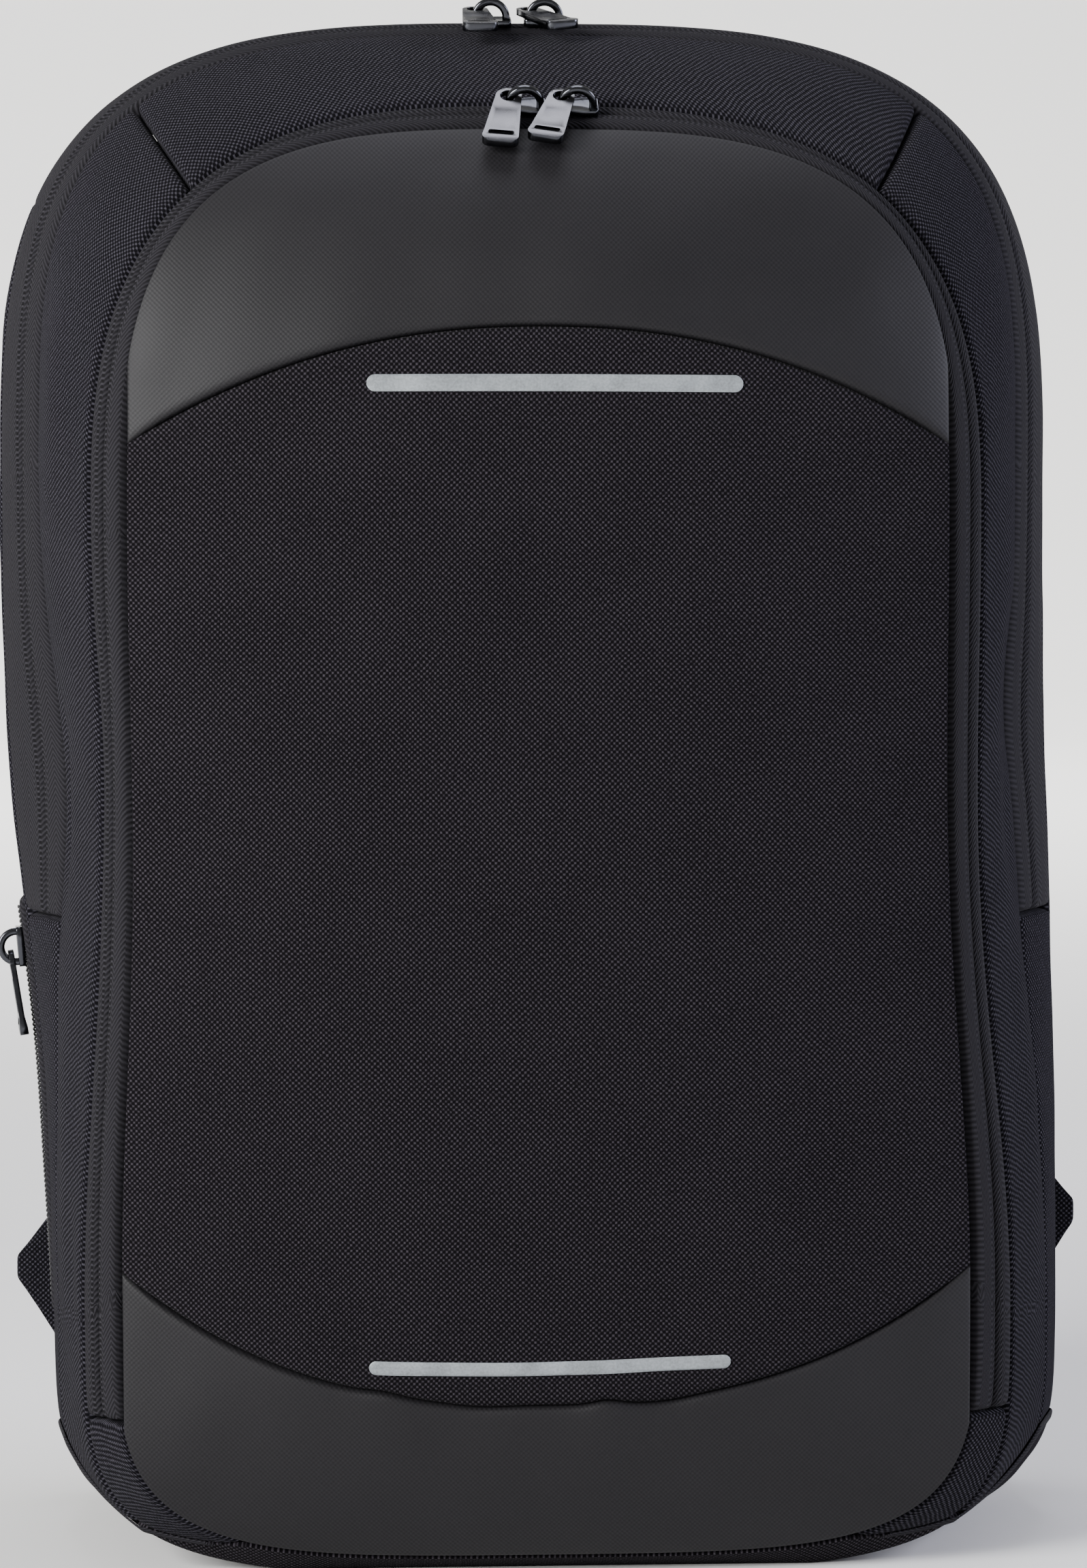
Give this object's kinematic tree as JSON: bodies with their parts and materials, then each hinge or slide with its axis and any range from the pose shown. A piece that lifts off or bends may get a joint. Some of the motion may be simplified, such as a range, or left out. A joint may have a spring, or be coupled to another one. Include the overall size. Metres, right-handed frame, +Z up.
{
  "type": "laptop backpack",
  "caption": "Upright laptop backpack in dark woven nylon with a curved front panel, reflective strips, arched front and main zips with metal pulls, padded back and shoulder straps.",
  "frame": {"origin": "middle of the whole part on the floor under the base", "axes": "+Z up, -Y out of the front panel, +X to the right of someone looking at the front"},
  "size_m": [0.3355, 0.205, 0.4587],
  "materials": {
    "woven_nylon": "coarse plain weave, near black",
    "coated_nylon": "fine coated weave, dark grey with a soft sheen",
    "band_nylon": "coarse plain weave, dark grey",
    "zip_tape": "twill zip tape, dark grey",
    "reflective_tape": "pale grey reflective tape, fine grain",
    "padded_mesh": "padded air mesh, black",
    "webbing": "ribbed nylon webbing, black",
    "buckle_plastic": "moulded black plastic",
    "black_nickel": "polished black nickel"
  },
  "bodies": {
    "bag": {"front_panel_mid": "woven_nylon", "front_yoke_top": "coated_nylon", "front_yoke_bottom": "coated_nylon", "reflective_strip_top": "reflective_tape", "reflective_strip_bottom": "reflective_tape", "front_zip_tape_inner": "zip_tape", "front_zip_tape_outer": "zip_tape", "main_zip_tape_front": "zip_tape", "main_zip_tape_rear": "zip_tape", "top_band": "band_nylon", "rear_gusset_top": "band_nylon", "base_panel": "band_nylon", "back_panel": "padded_mesh", "side_band_left": "band_nylon", "front_corner_left": "band_nylon", "lower_side_left": "band_nylon", "rear_gusset_left": "band_nylon", "base_edge_left": "zip_tape", "shoulder_strap_left": "padded_mesh", "ladder_buckle_left": "buckle_plastic", "strap_wing_left": "webbing", "strap_webbing_left": "webbing", "side_band_right": "band_nylon", "front_corner_right": "band_nylon", "lower_side_right": "band_nylon", "rear_gusset_right": "band_nylon", "base_edge_right": "zip_tape", "shoulder_strap_right": "padded_mesh", "ladder_buckle_right": "buckle_plastic", "strap_wing_right": "webbing", "strap_webbing_right": "webbing", "haul_handle": "webbing", "front_zip_slider_left": "black_nickel", "front_zip_slider_right": "black_nickel", "main_zip_slider_left": "black_nickel", "main_zip_slider_right": "black_nickel", "side_zip_tape": "zip_tape", "side_zip_slider": "black_nickel"},
    "front_pull_left": {"front_zip_pull_left": "black_nickel"},
    "front_pull_right": {"front_zip_pull_right": "black_nickel"},
    "main_pull_left": {"main_zip_pull_left": "black_nickel"},
    "main_pull_right": {"main_zip_pull_right": "black_nickel"},
    "side_pull": {"side_zip_pull": "black_nickel"}
  },
  "joints": [
    {"name": "front_pull_left_swing", "type": "hinge", "parent": "bag", "child": "front_pull_left", "pos_m": [-0.01528, -0.05323, 0.42584], "axis": [-0.0165, -0.6326, 0.7743], "range_deg": [-45, 3]},
    {"name": "front_pull_right_swing", "type": "hinge", "parent": "bag", "child": "front_pull_right", "pos_m": [-0.00006, -0.05322, 0.42585], "axis": [-0.0094, -0.5901, 0.8073], "range_deg": [-3, 45]},
    {"name": "main_pull_left_swing", "type": "hinge", "parent": "bag", "child": "main_pull_left", "pos_m": [-0.02289, -0.00427, 0.45446], "axis": [-0.0003, -0.2814, 0.9596], "range_deg": [-45, 15]},
    {"name": "main_pull_right_swing", "type": "hinge", "parent": "bag", "child": "main_pull_right", "pos_m": [-0.00688, -0.00427, 0.45447], "axis": [0.008, -0.2629, 0.9648], "range_deg": [-15, 18]},
    {"name": "side_pull_swing", "type": "hinge", "parent": "bag", "child": "side_pull", "pos_m": [-0.16262, 0.01151, 0.16977], "axis": [-0.9834, -0.0938, -0.1551], "range_deg": [-60, 60]}
  ]
}
